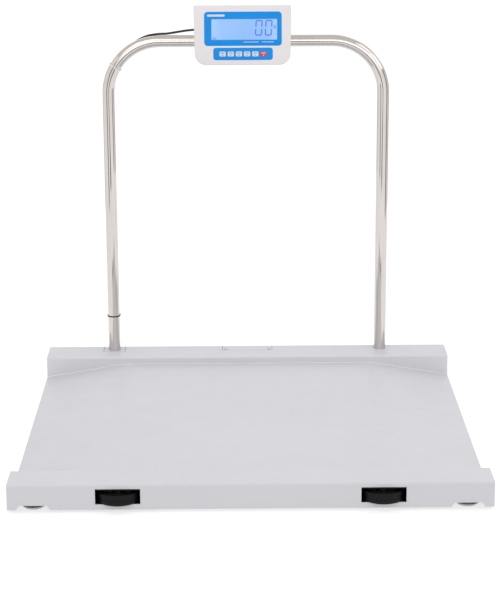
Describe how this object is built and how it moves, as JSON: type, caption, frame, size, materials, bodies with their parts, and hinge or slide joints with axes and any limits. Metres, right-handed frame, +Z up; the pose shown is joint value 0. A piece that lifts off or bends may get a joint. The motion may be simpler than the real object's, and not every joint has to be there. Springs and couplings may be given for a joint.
{
  "type": "animal weighing scale",
  "caption": "Low drive-through floor scale with ramped deck, guard beams, transport wheels, levelling feet, U handrail and tilting indicator.",
  "frame": {"origin": "on the floor, under the centre of the object's box", "axes": "+Z up, +X along the drive-through direction to the right of a user at the front, +Y from the front beam to the handrail"},
  "size_m": [1.1, 1.087, 1.025],
  "materials": {
    "enamel": "pale grey powder coat, satin",
    "zinc_steel": "zinc-plated steel",
    "black_steel": "black paint",
    "wheel_rubber": "black rubber, semi-matt",
    "black_plastic": "moulded black plastic",
    "aluminium": "machined and anodised",
    "circuit_board": "green solder mask",
    "polished_tube": "polished stainless tube",
    "cable_sheath": "black PVC sheath",
    "clear_nylon": "natural nylon",
    "housing_plastic": "fine-textured light grey moulding",
    "blue_overlay": "printed polyester overlay, satin",
    "display_glass": "backlit liquid crystal, pale blue",
    "battery_wrap": "shrink-wrapped cells",
    "key_white": "printed white key",
    "key_red": "printed red key"
  },
  "bodies": {
    "platform": {"deck_plate": "enamel", "front_beam": "enamel", "rear_beam": "enamel", "junction_cover": "enamel", "cable_cover": "enamel", "deck_rib_left": "enamel", "deck_rib_centre": "enamel", "deck_rib_right": "enamel", "cover_screw_left": "zinc_steel", "wheel_bracket_left": "black_steel", "wheel_axle_left": "zinc_steel", "post_socket_left": "zinc_steel", "cover_screw_right": "zinc_steel", "wheel_bracket_right": "black_steel", "wheel_axle_right": "zinc_steel", "post_socket_right": "zinc_steel", "load_cell_front_left": "aluminium", "load_cell_front_right": "aluminium", "load_cell_rear_left": "aluminium", "load_cell_rear_right": "aluminium", "junction_box": "black_plastic", "junction_board": "circuit_board", "handrail": "polished_tube", "indicator_cable": "cable_sheath", "cable_tie_post": "black_plastic", "cable_tie_bend": "clear_nylon", "clamp_front": "aluminium", "clamp_rear": "aluminium", "clamp_bolt_upper": "zinc_steel", "clamp_bolt_lower": "zinc_steel", "tilt_pin": "zinc_steel"},
    "wheel_left": {"wheel_tyre_left": "wheel_rubber", "wheel_hub_left": "black_plastic"},
    "wheel_right": {"wheel_tyre_right": "wheel_rubber", "wheel_hub_right": "black_plastic"},
    "indicator": {"housing_front": "housing_plastic", "housing_rear": "housing_plastic", "display_panel": "blue_overlay", "keypad_panel": "blue_overlay", "lcd_module": "display_glass", "circuit_board": "circuit_board", "battery_pack": "battery_wrap", "battery_door": "housing_plastic", "cable_gland": "black_plastic", "power_inlet": "black_plastic", "tilt_lug": "zinc_steel", "cable_tail": "cable_sheath"},
    "tilt_knob_body": {"tilt_knob": "black_plastic"},
    "key_1_body": {"key_1": "key_white"},
    "key_2_body": {"key_2": "key_white"},
    "key_3_body": {"key_3": "key_white"},
    "key_4_body": {"key_4": "key_white"},
    "key_5_body": {"key_5": "key_white"},
    "key_6_body": {"key_6": "key_red"},
    "foot_front_left": {"levelling_foot_front_left": "zinc_steel"},
    "foot_front_right": {"levelling_foot_front_right": "zinc_steel"},
    "foot_rear_left": {"levelling_foot_rear_left": "zinc_steel"},
    "foot_rear_right": {"levelling_foot_rear_right": "zinc_steel"}
  },
  "joints": [
    {"name": "wheel_left_spin", "type": "hinge", "parent": "platform", "child": "wheel_left", "pos_m": [-0.3, -0.4935, 0.032], "axis": [0, 0, 1], "continuous": true},
    {"name": "wheel_right_spin", "type": "hinge", "parent": "platform", "child": "wheel_right", "pos_m": [0.3, -0.4935, 0.032], "axis": [0, 0, 1], "continuous": true},
    {"name": "indicator_tilt", "type": "hinge", "parent": "platform", "child": "indicator", "pos_m": [-0.0085, 0.487, 0.93], "axis": [-1, 0, 0], "range_deg": [-20, 25], "deforming": ["cable_tail"]},
    {"name": "tilt_knob_turn", "type": "hinge", "parent": "platform", "child": "tilt_knob_body", "pos_m": [0.0135, 0.487, 0.93], "axis": [1, 0, 0], "continuous": true},
    {"name": "key_1_press", "type": "slide", "parent": "indicator", "child": "key_1_body", "axis": [0, 0.9903, -0.1392], "range_m": [0, 0.0006], "stiffness_N_per_m": 1500, "springref_m": -0.0003},
    {"name": "key_2_press", "type": "slide", "parent": "indicator", "child": "key_2_body", "axis": [0, 0.9903, -0.1392], "range_m": [0, 0.0006], "stiffness_N_per_m": 1500, "springref_m": -0.0003},
    {"name": "key_3_press", "type": "slide", "parent": "indicator", "child": "key_3_body", "axis": [0, 0.9903, -0.1392], "range_m": [0, 0.0006], "stiffness_N_per_m": 1500, "springref_m": -0.0003},
    {"name": "key_4_press", "type": "slide", "parent": "indicator", "child": "key_4_body", "axis": [0, 0.9903, -0.1392], "range_m": [0, 0.0006], "stiffness_N_per_m": 1500, "springref_m": -0.0003},
    {"name": "key_5_press", "type": "slide", "parent": "indicator", "child": "key_5_body", "axis": [0, 0.9903, -0.1392], "range_m": [0, 0.0006], "stiffness_N_per_m": 1500, "springref_m": -0.0003},
    {"name": "key_6_press", "type": "slide", "parent": "indicator", "child": "key_6_body", "axis": [0, 0.9903, -0.1392], "range_m": [0, 0.0006], "stiffness_N_per_m": 1500, "springref_m": -0.0003},
    {"name": "foot_front_left_height", "type": "slide", "parent": "platform", "child": "foot_front_left", "axis": [0, 0, -1], "range_m": [0, 0.01]},
    {"name": "foot_front_right_height", "type": "slide", "parent": "platform", "child": "foot_front_right", "axis": [0, 0, -1], "range_m": [0, 0.01]},
    {"name": "foot_rear_left_height", "type": "slide", "parent": "platform", "child": "foot_rear_left", "axis": [0, 0, -1], "range_m": [0, 0.01]},
    {"name": "foot_rear_right_height", "type": "slide", "parent": "platform", "child": "foot_rear_right", "axis": [0, 0, -1], "range_m": [0, 0.01]}
  ]
}
